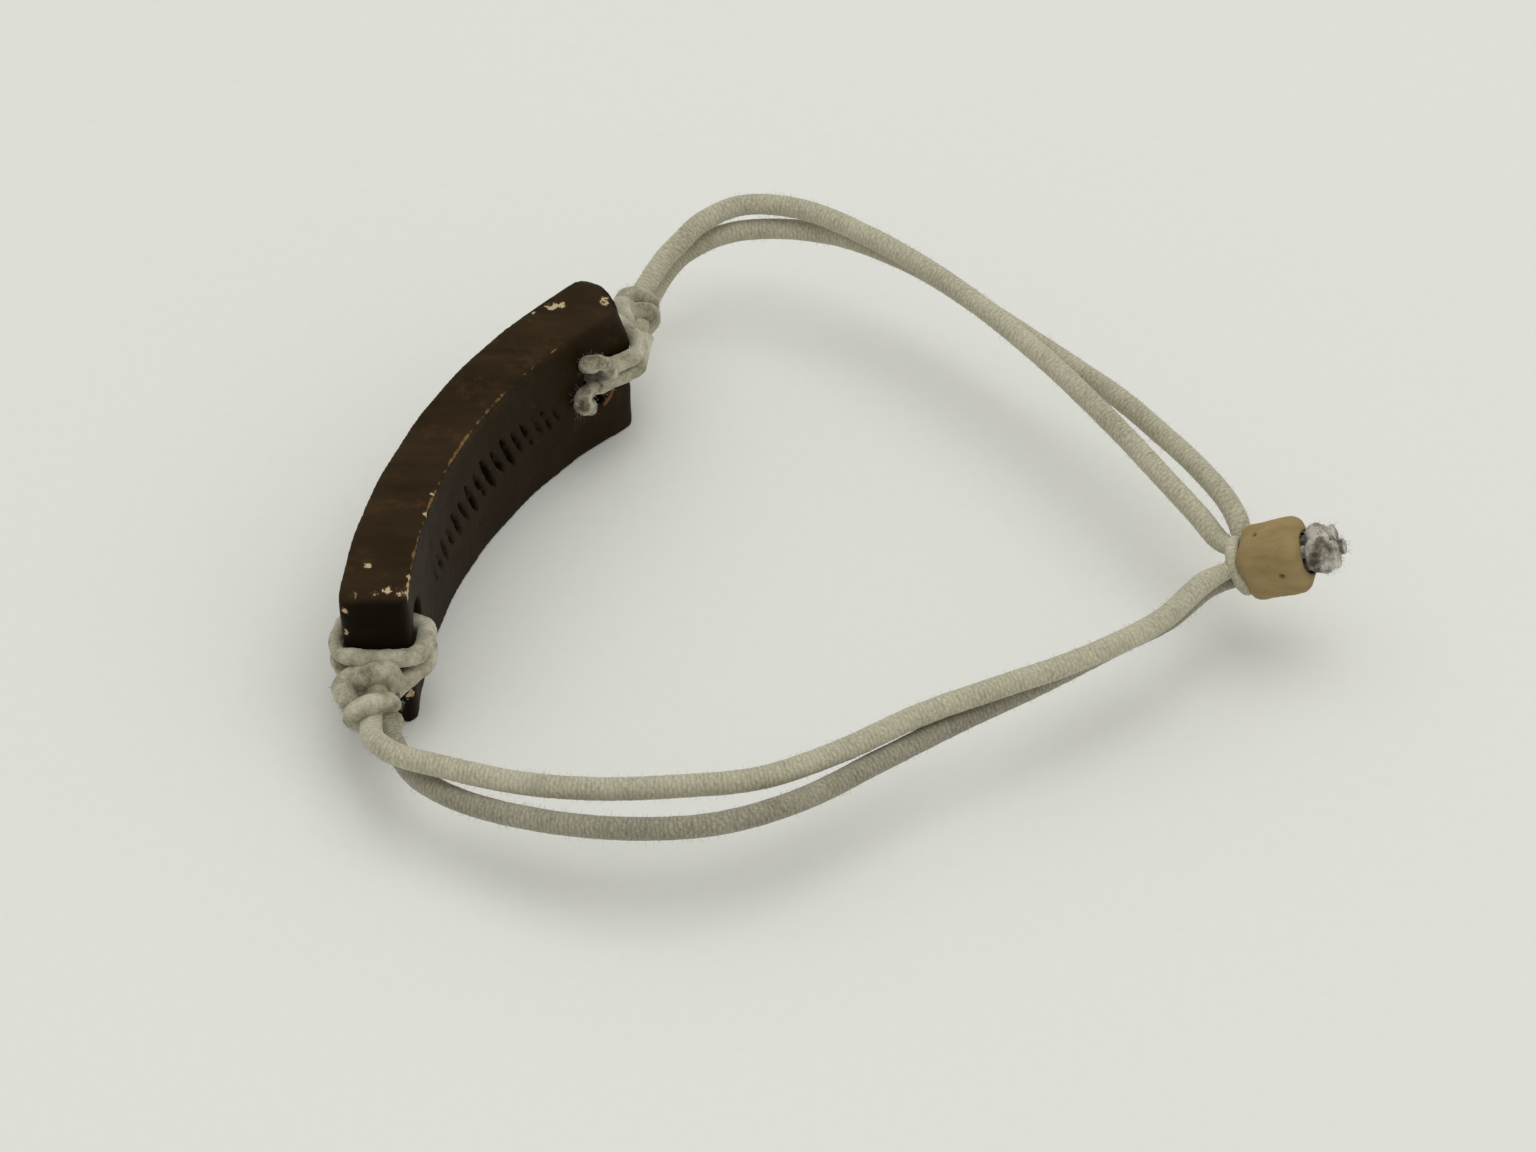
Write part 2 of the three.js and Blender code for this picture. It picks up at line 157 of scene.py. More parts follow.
def light_studio():
    bpy.context.scene.view_settings.view_transform = "Standard"
    world = bpy.data.worlds.new("studio")
    world.use_nodes = True
    sky = world.node_tree.nodes["Background"]
    sky.inputs["Color"].default_value = (1.0, 1.0, 0.965, 1)
    sky.inputs["Strength"].default_value = SKY_STRENGTH
    bpy.context.scene.world = world
    soft_lamp("right_lamp", direction=(0.26, 0.05, 1.0), size=0.80, power=2.35, colour=(1.0, 1.0, 0.97))
    soft_lamp("left_lamp", direction=(-0.40, 0.14, 1.0), size=0.90, power=0.85, colour=(1.0, 1.0, 0.98))


# ---------------------------------------------------------------- node writing


class Value:
    """A number in a node tree that can be added, multiplied and compared like any number."""

    def __init__(self, tree, socket):
        self.tree = tree
        self.socket = socket

    def _with(self, operation, other, swapped=False, third=None):
        node = self.tree.nodes.new("ShaderNodeMath")
        node.operation = operation
        terms = [other, self] if swapped else [self, other]
        for place, term in zip(node.inputs, terms + [third]):
            if isinstance(term, Value):
                self.tree.links.new(term.socket, place)
            elif term is not None:
                place.default_value = term
        return Value(self.tree, node.outputs[0])

    def __add__(self, other):
        return self._with("ADD", other)

    __radd__ = __add__

    def __sub__(self, other):
        return self._with("SUBTRACT", other)

    def __rsub__(self, other):
        return self._with("SUBTRACT", other, swapped=True)

    def __mul__(self, other):
        return self._with("MULTIPLY", other)

    __rmul__ = __mul__

    def __truediv__(self, other):
        return self._with("DIVIDE", other)

    def __rtruediv__(self, other):
        return self._with("DIVIDE", other, swapped=True)

    def absolute(self):
        return self._with("ABSOLUTE", None)

    def whole(self):
        return self._with("FLOOR", None)

    def sine(self):
        return self._with("SINE", None)

    def at_most(self, other):
        return self._with("MINIMUM", other)

    def between(self, low, high):
        """0 below low, 1 above high, with a soft step between them."""
        node = self.tree.nodes.new("ShaderNodeMapRange")
        node.interpolation_type = "SMOOTHSTEP"
        self.tree.links.new(self.socket, node.inputs["Value"])
        node.inputs["From Min"].default_value = low
        node.inputs["From Max"].default_value = high
        return Value(self.tree, node.outputs["Result"])


class Tree:
    """A node tree that is written as plain calls."""

    def __init__(self, tree):
        self.tree = tree

    def node(self, kind, settings=None, **sockets):
        node = self.tree.nodes.new(kind)
        for name, value in (settings or {}).items():
            if name == "stops":
                self._stops(node.color_ramp, value)
            else:
                setattr(node, name, value)
        for name, value in sockets.items():
            self.feed(node, name.replace("_", " "), value)
        return node

    def feed(self, node, name, value):
        place = next(s for s in node.inputs if s.name.lower() == name.lower() and s.enabled)
        if isinstance(value, Value):
            value = value.socket
        if isinstance(value, bpy.types.NodeSocket):
            self.tree.links.new(value, place)
        else:
            place.default_value = value

    def number(self, node, name=None):
        found = [s for s in node.outputs if s.enabled and (name is None or s.name == name)]
        return Value(self.tree, found[0])

    @staticmethod
    def _stops(ramp, stops):
        while len(ramp.elements) > 1:
            ramp.elements.remove(ramp.elements[-1])
        for index, (place, colour) in enumerate(stops):
            element = ramp.elements[0] if index == 0 else ramp.elements.new(place)
            element.position = place
            element.color = (*colour, 1)


class Finish(Tree):
    """A material with one Principled shader."""

    def __init__(self, name, **constants):
        self.material = bpy.data.materials.new(name)
        self.material.use_nodes = True
        super().__init__(self.material.node_tree)
        self.shader = self.tree.nodes["Principled BSDF"]
        for socket, value in constants.items():
            self.feed(self.shader, socket.replace("_", " "), value)
        self.place = self.tree.nodes.new("ShaderNodeTexCoord").outputs["Object"]

    def set(self, **sockets):
        for name, value in sockets.items():
            self.feed(self.shader, name.replace("_", " "), value)

    def noise(self, scale, detail=3.0, roughness=0.55, stretch=None, turn=0.0, distortion=0.0):
        vector = self.place
        if stretch:
            vector = self.node(
                "ShaderNodeMapping", Vector=vector, Scale=stretch, Rotation=(0, 0, turn)
            ).outputs["Vector"]
        made = self.node(
            "ShaderNodeTexNoise",
            Vector=vector,
            Scale=scale,
            Detail=detail,
            Roughness=roughness,
            Distortion=distortion,
        )
        return self.number(made, "Fac")

    def painted(self, amount, first, second):
        mix = self.tree.nodes.new("ShaderNodeMix")
        mix.data_type = "RGBA"
        for place, value in (("Factor", amount), ("A", first), ("B", second)):
            self.feed(mix, place, value if not isinstance(value, tuple) else (*value, 1))
        return next(s for s in mix.outputs if s.enabled)

    def ramp(self, amount, stops):
        return self.node("ShaderNodeValToRGB", {"stops": stops}, Fac=amount).outputs["Color"]

    def attribute(self, name):
        return self.number(self.node("ShaderNodeAttribute", {"attribute_name": name}), "Fac")

    def bump(self, height, strength, distance):
        made = self.node("ShaderNodeBump", Strength=strength, Distance=distance, Height=height)
        self.set(Normal=made.outputs["Normal"])


# ---------------------------------------------------------------- finishes


def lacquered_wood():
    """Dark brown lacquer over wood: pores, worn brown edges and cream chips, with painted shade on the inner
    face, in the gouges and inside the holes.
    """
    f = Finish("lacquered_wood", Specular_IOR_Level=0.035)
    grain = f.noise(260, 5, 0.6, stretch=(0.22, 1.6, 1.6), turn=-BAR_TURN)
    blotch = f.noise(190, 3, 0.5)
    speckle = f.noise(2600, 2, 0.6)
    lacquer = f.ramp(
        grain * 0.6 + blotch * 0.4,
        [
            (0.30, (0.0160, 0.0095, 0.0034)),
            (0.52, (0.0300, 0.0185, 0.0078)),
            (0.72, (0.0500, 0.0300, 0.0130)),
        ],
    )
    ragged = f.noise(1500, 4, 0.65)
    edge = f.attribute("edge_wear")
    worn = (edge * 1.15 + ragged * 0.7 + f.noise(240, 3, 0.6) * 0.9).between(1.46, 1.60)
    carved = f.attribute("carving")
    deep = (carved + ragged * 0.5).between(0.40, 1.0)
    flake = f.noise(1900, 4, 0.7)
    chipped = f.attribute("chip")
    chip = (chipped + (flake - 0.5) * 2.6).between(0.74, 0.82) * chipped.between(0.02, 0.15)
    rubbed = f.noise(330, 5, 0.7).between(0.54, 0.70)
    colour = f.painted(rubbed * 0.45, lacquer, (0.085, 0.042, 0.018))
    # Painted shade: the inner face below the top is painted darker.
    colour = f.painted(f.attribute("inner_shade") * 0.5, colour, (0.0150, 0.0085, 0.0030))
    # The end faces are painted darker.
    colour = f.painted(f.attribute("end_grain") * 0.8, colour, (0.0050, 0.0035, 0.0018))
    # Painted shade inside the carved gouges.
    colour = f.painted(deep * 0.8, colour, (0.0050, 0.0034, 0.0022))
    # Painted shade inside the holes.
    colour = f.painted(f.attribute("hole_inside") * 0.9, colour, (0.0030, 0.0020, 0.0012))
    rim_worn = f.attribute("hole_rim") * f.noise(700, 3, 0.6).between(0.40, 0.55)
    colour = f.painted(rim_worn * 0.8, colour, (0.240, 0.120, 0.045))
    fleck = (f.attribute("carved_rim") + (flake - 0.5) * 2.4).between(1.05, 1.20)
    colour = f.painted(fleck * 0.6, colour, (0.23, 0.20, 0.14))
    colour = f.painted(worn * 0.75, colour, (0.230, 0.130, 0.055))
    rim = (chipped + (flake - 0.5) * 2.6).between(0.45, 0.70) * chipped.between(0.02, 0.15)
    colour = f.painted(rim * 0.8, colour, (0.080, 0.040, 0.016))
    colour = f.painted(chip, colour, (0.50, 0.40, 0.24))
    rough = 0.52 + (blotch - 0.5) * 0.22 + deep * 0.25 + worn * 0.2 + chip * 0.35
    f.set(Base_Color=colour, Roughness=rough.at_most(0.95))
    f.bump(grain * 0.5 + speckle * 0.25 + ragged * 0.2 - chip * 0.6, 0.35, 0.06 * MM)
    return f.material


def cord_cover(name, pale, middle, deep, soil, patch_scale=210, contrast=0.42, groove_shade=0.26):
    """Knitted cover: painted shade in the grooves between the ribs, with soiled patches along the cord."""
    f = Finish(name, Roughness=0.92, Specular_IOR_Level=0.15, Sheen_Weight=0.25, Sheen_Roughness=0.6)
    thread = f.noise(4200, 4, 0.7)
    patch = f.noise(patch_scale, 4, 0.6)
    ridge = f.attribute("ridge")
    # The ridge term is painted shade: darker in the grooves between the ribs.
    shade = (ridge - RIB_MIDDLE) * groove_shade + thread * 0.55 + (patch - 0.5) * contrast + 0.366
    colour = f.ramp(shade, [(0.36, deep), (0.58, middle), (0.80, pale)])
    colour = f.painted(f.noise(420, 4, 0.6).between(0.56, 0.72) * 0.5, colour, soil)
    f.set(Base_Color=colour)
    f.bump(thread, 0.35, 0.05 * MM)
    return f.material


def bead_wood():
    """Bare tan wood, polished by wear, with fine grain along the bore, and painted shade in the pits and
    round the bore's mouths.
    """
    f = Finish("bead_wood", Specular_IOR_Level=0.3)
    grain = f.noise(700, 4, 0.6, stretch=(0.18, 1.4, 1.4), turn=BEAD_TURN)
    blotch = f.noise(260, 3, 0.55)
    colour = f.ramp(
        grain * 0.55 + blotch * 0.45,
        [(0.25, (0.205, 0.138, 0.054)), (0.50, (0.292, 0.206, 0.086)), (0.75, (0.372, 0.275, 0.126))],
    )
    pit = f.attribute("pit")
    # Painted shade in the pits.
    colour = f.painted(pit * 0.8, colour, (0.060, 0.035, 0.018))
    # Painted shade round the mouths of the bore.
    rim = f.attribute("bore_rim")
    colour = f.painted(rim * 0.9, colour, (0.030, 0.018, 0.012))
    f.set(Base_Color=colour, Roughness=0.62 + (blotch - 0.5) * 0.2)
    f.bump(grain, 0.15, 0.05 * MM)
    return f.material


def table_top():
    f = Finish("table_top", Specular_IOR_Level=0.2)
    cloud = f.noise(6, 3, 0.5)
    fine = f.noise(900, 4, 0.6)
    colour = f.ramp(
        cloud * 0.5 + fine * 0.5, [(0.3, (0.765, 0.770, 0.735)), (0.7, (0.795, 0.800, 0.765))]
    )
    f.set(Base_Color=colour, Roughness=0.7 + fine * 0.1)
    return f.material


# ---------------------------------------------------------------- routes


def onto_stage(point):
    """Millimetres in the bar's own place to metres in the model."""
    turned = Matrix.Rotation(BAR_TURN, 3, "Z") @ Vector(point)
    return turned * MM


def on_bar(along, out, up):
    angle = along / BAR_MID_RADIUS
    radius = BAR_MID_RADIUS + out
    return onto_stage((radius * math.sin(angle), radius * math.cos(angle) - BAR_MID_RADIUS, up))


BEAD_DIRECTIONS = Matrix.Rotation(BEAD_TURN, 3, "Z") @ Matrix.Rotation(BEAD_TILT, 3, "Y")


def on_bead(x, y, z):
    """Millimetres along and across the bead's bore to metres in the model."""
    return (BEAD_PLACE + BEAD_DIRECTIONS @ Vector((x, y, z))) * MM


def smooth_route(points, spacing=0.3 * MM):
    """Centripetal Catmull-Rom curve through the points, as even small steps."""
    p = [np.array(q, dtype=float) for q in points]
    p = [2 * p[0] - p[1], *p, 2 * p[-1] - p[-2]]
    fine = []
    for a, b, c, d in zip(p[:-3], p[1:-2], p[2:-1], p[3:]):
        t0 = 0.0
        t1 = t0 + np.linalg.norm(b - a) ** 0.5
        t2 = t1 + np.linalg.norm(c - b) ** 0.5
        t3 = t2 + np.linalg.norm(d - c) ** 0.5
        for t in np.linspace(t1, t2, 24, endpoint=False):
            a1 = (t1 - t) / (t1 - t0) * a + (t - t0) / (t1 - t0) * b
            a2 = (t2 - t) / (t2 - t1) * b + (t - t1) / (t2 - t1) * c
            a3 = (t3 - t) / (t3 - t2) * c + (t - t2) / (t3 - t2) * d
            b1 = (t2 - t) / (t2 - t0) * a1 + (t - t0) / (t2 - t0) * a2
            b2 = (t3 - t) / (t3 - t1) * a2 + (t - t1) / (t3 - t1) * a3
            fine.append((t2 - t) / (t2 - t1) * b1 + (t - t1) / (t2 - t1) * b2)
    fine.append(p[-2])
    fine = np.array(fine)
    steps = np.linalg.norm(np.diff(fine, axis=0), axis=1)
    run = np.concatenate([[0], np.cumsum(steps)])
    count = max(8, int(round(run[-1] / spacing)))
    even = np.linspace(0, run[-1], count + 1)
    return np.stack([np.interp(even, run, fine[:, k]) for k in range(3)], axis=1)


def route_length(points):
    return float(np.linalg.norm(np.diff(points, axis=0), axis=1).sum())


# ---------------------------------------------------------------- knitted cord


def new_inputs(tree, inputs):
    tree.is_modifier = True
    tree.interface.new_socket("Geometry", in_out="INPUT", socket_type="NodeSocketGeometry")
    for name, kind, value in inputs:
        made = tree.interface.new_socket(name, in_out="INPUT", socket_type=f"NodeSocket{kind}")
        if value is not None:
            made.default_value = value
    tree.interface.new_socket("Geometry", in_out="OUTPUT", socket_type="NodeSocketGeometry")


def knitted_cord_tree():
    """Cord along a curve: ribs across it, stitches round it and a few loose lumps."""
    made = bpy.data.node_groups.new("knitted_cord", "GeometryNodeTree")
    new_inputs(
        made,
        [
            ("Radius", "Float", CORD_DIAMETER / 2),
            ("Rib Pitch", "Float", RIB_PITCH),
            ("Rib Depth", "Float", RIB_DEPTH),
            ("Lump", "Float", 0.05 * MM),
            ("Step", "Float", RIB_STEP),
            ("Cover", "Material", None),
        ],
    )
    t = Tree(made)
    start = t.node("NodeGroupInput")
    line = t.node("GeometryNodeResampleCurve", {"mode": "LENGTH"}, Curve=start.outputs["Geometry"])
    t.feed(line, "Length", start.outputs["Step"])
    keep_along = t.node("GeometryNodeCaptureAttribute", Geometry=line.outputs["Curve"])
    keep_along.capture_items.new("FLOAT", "along")
    along_now = t.node("GeometryNodeSplineParameter")
    made.links.new(along_now.outputs["Length"], keep_along.inputs[1])
    section = t.node("GeometryNodeCurvePrimitiveCircle", {"mode": "RADIUS"}, Resolution=CORD_SIDES)
    t.feed(section, "Radius", start.outputs["Radius"])
    keep_round = t.node("GeometryNodeCaptureAttribute", Geometry=section.outputs["Curve"])
    keep_round.capture_items.new("FLOAT", "round")
    round_now = t.node("GeometryNodeSplineParameter")
    made.links.new(round_now.outputs["Factor"], keep_round.inputs[1])
    swell = t.node("GeometryNodeInputRadius")
    body = t.node(
        "GeometryNodeCurveToMesh",
        Curve=keep_along.outputs["Geometry"],
        Profile_Curve=keep_round.outputs["Geometry"],
        Fill_Caps=True,
    )
    t.feed(body, "Scale", swell.outputs["Radius"])
    along = Value(made, keep_along.outputs[1])
    around = Value(made, keep_round.outputs[1])
    place = t.node("GeometryNodeInputPosition").outputs["Position"]
    drift = t.number(t.node("ShaderNodeTexNoise", Vector=place, Scale=1500.0, Detail=2.0), "Fac")
    rib = along / Value(made, start.outputs["Rib Pitch"]) + drift * 2.2
    ridge = (rib * math.pi).sine().absolute()
    stitch = (around * (2 * math.pi * STITCHES_ROUND) + rib.whole() * math.pi).sine()
    lump = t.number(t.node("ShaderNodeTexNoise", Vector=place, Scale=1100.0, Detail=3.0), "Fac")
    relief = ridge * (0.78 + stitch * 0.22)
    rise = (relief - RIB_MIDDLE) * Value(made, start.outputs["Rib Depth"])
    rise = rise + (lump - 0.5) * 2 * Value(made, start.outputs["Lump"])
    outwards = t.node("GeometryNodeInputNormal").outputs["Normal"]
    push = t.node("ShaderNodeVectorMath", {"operation": "SCALE"}, Vector=outwards)
    t.feed(push, "Scale", rise)
    moved = t.node("GeometryNodeSetPosition", Geometry=body.outputs["Mesh"], Offset=push.outputs["Vector"])
    marked = t.node(
        "GeometryNodeStoreNamedAttribute",
        {"data_type": "FLOAT", "domain": "POINT"},
        Geometry=moved.outputs["Geometry"],
        Name="ridge",
        Value=relief,
    )
    real = t.node("GeometryNodeRealizeInstances", Geometry=marked.outputs["Geometry"])
    covered = t.node("GeometryNodeSetMaterial", Geometry=real.outputs["Geometry"])
    t.feed(covered, "Material", start.outputs["Cover"])
    smooth = t.node("GeometryNodeSetShadeSmooth", Geometry=covered.outputs["Geometry"])
    end = t.node("NodeGroupOutput")
    made.links.new(smooth.outputs["Geometry"], end.inputs["Geometry"])
    return made


def loose_fibre_tree():
    """Short bent fibres that stand off a surface."""
    made = bpy.data.node_groups.new("loose_fibres", "GeometryNodeTree")
    new_inputs(
        made,
        [
            ("Per Square Metre", "Float", 1.0e6),
            ("Fibre Length", "Float", 0.5 * MM),
            ("Fibre Width", "Float", 0.02 * MM),
            ("Lean", "Float", 0.9),
            ("Seed", "Int", 1),
            ("Thread", "Material", None),
        ],
    )
    t = Tree(made)
    start = t.node("NodeGroupInput")
    roots = t.node("GeometryNodeDistributePointsOnFaces", Mesh=start.outputs["Geometry"])
    t.feed(roots, "Density", start.outputs["Per Square Metre"])
    t.feed(roots, "Seed", start.outputs["Seed"])
    arc = t.node(
        "GeometryNodeCurveQuadraticBezier",
        Resolution=3,
        Start=(0, 0, 0),
        Middle=(0.05, 0, 0.6),
        End=(0.45, 0, 1.0),
    )
    size = t.node("ShaderNodeCombineXYZ")
    for axis in ("X", "Y", "Z"):
        t.feed(size, axis, start.outputs["Fibre Length"])
    arc_sized = t.node("GeometryNodeTransform", Geometry=arc.outputs["Curve"], Scale=size.outputs["Vector"])
    section = t.node("GeometryNodeCurvePrimitiveCircle", {"mode": "RADIUS"}, Resolution=3)
    t.feed(section, "Radius", Value(made, start.outputs["Fibre Width"]) * 0.5)
    hair = t.node(
        "GeometryNodeCurveToMesh",
        Curve=arc_sized.outputs["Geometry"],
        Profile_Curve=section.outputs["Curve"],
        Fill_Caps=True,
    )
    lean = t.node("FunctionNodeRandomValue", {"data_type": "FLOAT_VECTOR"})
    for socket, sign in (("Min", -1), ("Max", 1)):
        turn = t.node("ShaderNodeCombineXYZ", Z=sign * math.pi)
        for axis in ("X", "Y"):
            t.feed(turn, axis, Value(made, start.outputs["Lean"]) * sign)
        t.feed(lean, socket, turn.outputs["Vector"])
    t.feed(lean, "Seed", start.outputs["Seed"])
    tipped = t.node("FunctionNodeRotateRotation", {"rotation_space": "LOCAL"})
    t.feed(tipped, "Rotation", roots.outputs["Rotation"])
    t.feed(tipped, "Rotate By", t.number(lean, "Value"))
    tall = t.node("FunctionNodeRandomValue", {"data_type": "FLOAT"}, Min=0.35, Max=1.0)
    planted = t.node("GeometryNodeInstanceOnPoints", Points=roots.outputs["Points"])
    t.feed(planted, "Instance", hair.outputs["Mesh"])
    t.feed(planted, "Rotation", tipped.outputs["Rotation"])
    t.feed(planted, "Scale", t.number(tall, "Value"))
    real = t.node("GeometryNodeRealizeInstances", Geometry=planted.outputs["Instances"])
    painted = t.node("GeometryNodeSetMaterial", Geometry=real.outputs["Geometry"])
    t.feed(painted, "Material", start.outputs["Thread"])
    end = t.node("NodeGroupOutput")
    made.links.new(painted.outputs["Geometry"], end.inputs["Geometry"])
    return made


def worked(base, tree, name, **inputs):
    """The mesh that a node tree makes from an object, as a new plain object."""
    modifier = base.modifiers.new("work", "NODES")
    modifier.node_group = tree
    for item in tree.interface.items_tree:
        given = inputs.get(item.name.replace(" ", "_"))
        if item.in_out == "INPUT" and given is not None:
            modifier[item.identifier] = given
    bpy.context.view_layer.update()
    graph = bpy.context.evaluated_depsgraph_get()
    mesh = bpy.data.meshes.new_from_object(base.evaluated_get(graph))
    mesh.name = name
    base.modifiers.remove(modifier)
    made = bpy.data.objects.new(name, mesh)
    bpy.context.scene.collection.objects.link(made)
    return made


def curve_line(points, swell=None):
    line = bpy.data.curves.new("line", "CURVE")
    line.dimensions = "3D"
    spline = line.splines.new("POLY")
    spline.points.add(len(points) - 1)
    for index, (mark, point) in enumerate(zip(spline.points, points)):
        mark.co = (*point, 1)
        mark.radius = 1.0 if swell is None else float(swell[index])
    holder = bpy.data.objects.new("line", line)
    bpy.context.scene.collection.objects.link(holder)
    return holder


def cord_piece(name, points, diameter, cover, swell=None, **knit):
    """A length of knitted cord along even points, in metres."""
    line = curve_line(points, swell)
    made = worked(line, KNITTED_CORD, name, Radius=diameter / 2, Cover=cover, **knit)
    data = line.data
    bpy.data.objects.remove(line)
    bpy.data.curves.remove(data)
    return made


def fibre_piece(name, base, thread, **fibre):
    return worked(base, LOOSE_FIBRES, name, Thread=thread, **fibre)


def joined(name, parts):
    """Several meshes as one object."""
    for part in parts:
        part.select_set(True)
    with bpy.context.temp_override(
        active_object=parts[0], selected_objects=parts, selected_editable_objects=parts
    ):
        bpy.ops.object.join()
    parts[0].name = name
    parts[0].data.name = name
    return parts[0]


# ---------------------------------------------------------------- scene

place_camera()
light_studio()

KNITTED_CORD = knitted_cord_tree()
LOOSE_FIBRES = loose_fibre_tree()

COVER = cord_cover(
    "cord_cover", pale=(0.56, 0.53, 0.40), middle=(0.40, 0.37, 0.265), deep=(0.22, 0.195, 0.130),
    soil=(0.27, 0.26, 0.20),
)
# A darker copy of the cover for the back lower strand: painted shade.
SHADED_COVER = cord_cover(
    "dull_cover", pale=(0.40, 0.375, 0.285), middle=(0.26, 0.240, 0.175), deep=(0.13, 0.115, 0.080),
    soil=(0.17, 0.16, 0.12),
)
KNOT_COVER = cord_cover(
    "knot_cover", pale=(0.52, 0.49, 0.38), middle=(0.34, 0.315, 0.220), deep=(0.15, 0.130, 0.080),
    soil=(0.21, 0.16, 0.08), patch_scale=450, contrast=1.15, groove_shade=0.05,
)
SOILED = cord_cover(
    "soiled_cover", pale=(0.55, 0.52, 0.46), middle=(0.24, 0.210, 0.165), deep=(0.050, 0.040, 0.028),
    soil=(0.105, 0.075, 0.035), patch_scale=650, contrast=1.5, groove_shade=0.05,
)
SOILED_PALE = cord_cover(
    "soiled_pale_cover", pale=(0.50, 0.46, 0.35), middle=(0.27, 0.240, 0.165), deep=(0.085, 0.066, 0.036),
    soil=(0.14, 0.10, 0.035), patch_scale=620, contrast=1.7, groove_shade=0.05,
)


# Where each strand goes once it is past its laid route: into the bead's mouth, beside the others.
MOUTH_SPREAD = 0.72
MOUTH_PLACES = {
    "upper_front": (MOUTH_SPREAD, MOUTH_SPREAD),
    "upper_back": (MOUTH_SPREAD, -MOUTH_SPREAD),
    "lower_front": (-MOUTH_SPREAD, MOUTH_SPREAD),
    "lower_back": (-MOUTH_SPREAD, -MOUTH_SPREAD),
}


# Where each strand comes out of the middle of its knot.
KNOT_PLACES = {
    "upper_front": (14.9, 20.9, 7.9),
    "upper_back": (15.1, 21.3, 7.6),
    "lower_front": (-5.2, -25.1, 7.1),
    "lower_back": (-5.1, -24.9, 6.7),
}


# The strands are squeezed thin over their last stretch, where all four go into the bead.
SQUEEZE_RUN = 4.0 * MM
SQUEEZE = 0.38
MOUTH_GAP = 0.2


def make_strands():
    for place, route in STRAND_ROUTES.items():
        across, over = MOUTH_PLACES[place]
        points = [Vector(p) * MM for p in (KNOT_PLACES[place], *route)]
        points.append(on_bead(-BEAD_LENGTH / 2 - MOUTH_GAP, across, over))
        points = smooth_route(points)
        run = np.linspace(0, route_length(points), len(points))
        squeeze_from = run[-1] - SQUEEZE_RUN
        swell = 1 - SQUEEZE * np.clip((run - squeeze_from) / SQUEEZE_RUN, 0, 1) ** 1.2
        # The back lower strand takes the darker copy of the cover: painted shade.
        cover = SHADED_COVER if place == "lower_back" else COVER
        strand = cord_piece(f"strand_{place}", points, CORD_DIAMETER, cover, swell)
        fluff = fibre_piece(
            "fluff",
            strand,
            cover,
            Per_Square_Metre=2.4e6,
            Fibre_Length=0.42 * MM,
            Fibre_Width=0.022 * MM,
            Seed=31,
        )
        strand = joined(f"strand_{place}", [strand, fluff])
        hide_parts(f"strand_cover_{place}", f"strand_core_{place}")
        far = Vector(points[-1])
        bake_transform(strand)
        [tuple(p) for p in points[::4]] + [tuple(far)]


make_strands()


# ---------------------------------------------------------------- wooden bar


def cad_copy(node):
    """A welded copy of a CAD node, as one closed mesh."""
    mesh = bpy.data.objects[node].data.copy()
    work = bmesh.new()
    work.from_mesh(mesh)
    bmesh.ops.remove_doubles(work, verts=work.verts, dist=0.002 * MM)
    work.to_mesh(mesh)
    work.free()
    made = bpy.data.objects.new(node + "_copy", mesh)
    bpy.context.scene.collection.objects.link(made)
    return made


def rounded(source, name, voxel, passes, cover):
    """The source's shape with evenly spaced points and softly rounded edges."""
    remesh = source.modifiers.new("even", "REMESH")
    remesh.mode = "VOXEL"
    remesh.voxel_size = voxel
    soften = source.modifiers.new("soften", "SMOOTH")
    soften.factor = 0.5
    soften.iterations = passes
    bpy.context.view_layer.update()
    graph = bpy.context.evaluated_depsgraph_get()
    mesh = bpy.data.meshes.new_from_object(source.evaluated_get(graph))
    bpy.data.objects.remove(source)
    mesh.name = name
    mesh.materials.clear()
    mesh.materials.append(cover)
    mesh.shade_smooth()
    made = bpy.data.objects.new(name, mesh)
    bpy.context.scene.collection.objects.link(made)
    return made


def points_of(mesh):
    flat = np.empty(len(mesh.vertices) * 3)
    mesh.vertices.foreach_get("co", flat)
    return flat.reshape(-1, 3)


def normals_of(mesh):
    flat = np.empty(len(mesh.vertices) * 3)
    mesh.vertex_normals.foreach_get("vector", flat)
    return flat.reshape(-1, 3)


def put_points(mesh, points):
    mesh.vertices.foreach_set("co", points.ravel())
    mesh.update()


def mark(mesh, name, values):
    made = mesh.attributes.new(name, "FLOAT", "POINT")
    made.data.foreach_set("value", np.asarray(values, dtype=np.float32))


def spread(mesh, values, rounds):
    """Values evened out over neighbouring points."""
    ends = np.empty(len(mesh.edges) * 2, dtype=np.int64)
    mesh.edges.foreach_get("vertices", ends)
    a, b = ends.reshape(-1, 2).T
    count = np.bincount(np.concatenate([a, b]), minlength=len(mesh.vertices)).reshape(
        (-1,) + (1,) * (values.ndim - 1)
    )
    for _ in range(rounds):
        total = np.zeros_like(values)
        np.add.at(total, a, values[b])
        np.add.at(total, b, values[a])
        values = 0.5 * values + 0.5 * total / np.maximum(count, 1)
    return values


def bar_places(points):
    """Along, out and up of points in metres, as millimetres beside the bar's middle line."""
    back = np.array(Matrix.Rotation(-BAR_TURN, 3, "Z"))
    local = points @ back.T / MM
    angle = np.arctan2(local[:, 0], local[:, 1] + BAR_MID_RADIUS)
    out = np.hypot(local[:, 0], local[:, 1] + BAR_MID_RADIUS) - BAR_MID_RADIUS
    return angle * BAR_MID_RADIUS, out, local[:, 2]


def soft_step(values, low, high):
    t = np.clip((values - low) / (high - low), 0, 1)
    return t * t * (3 - 2 * t)


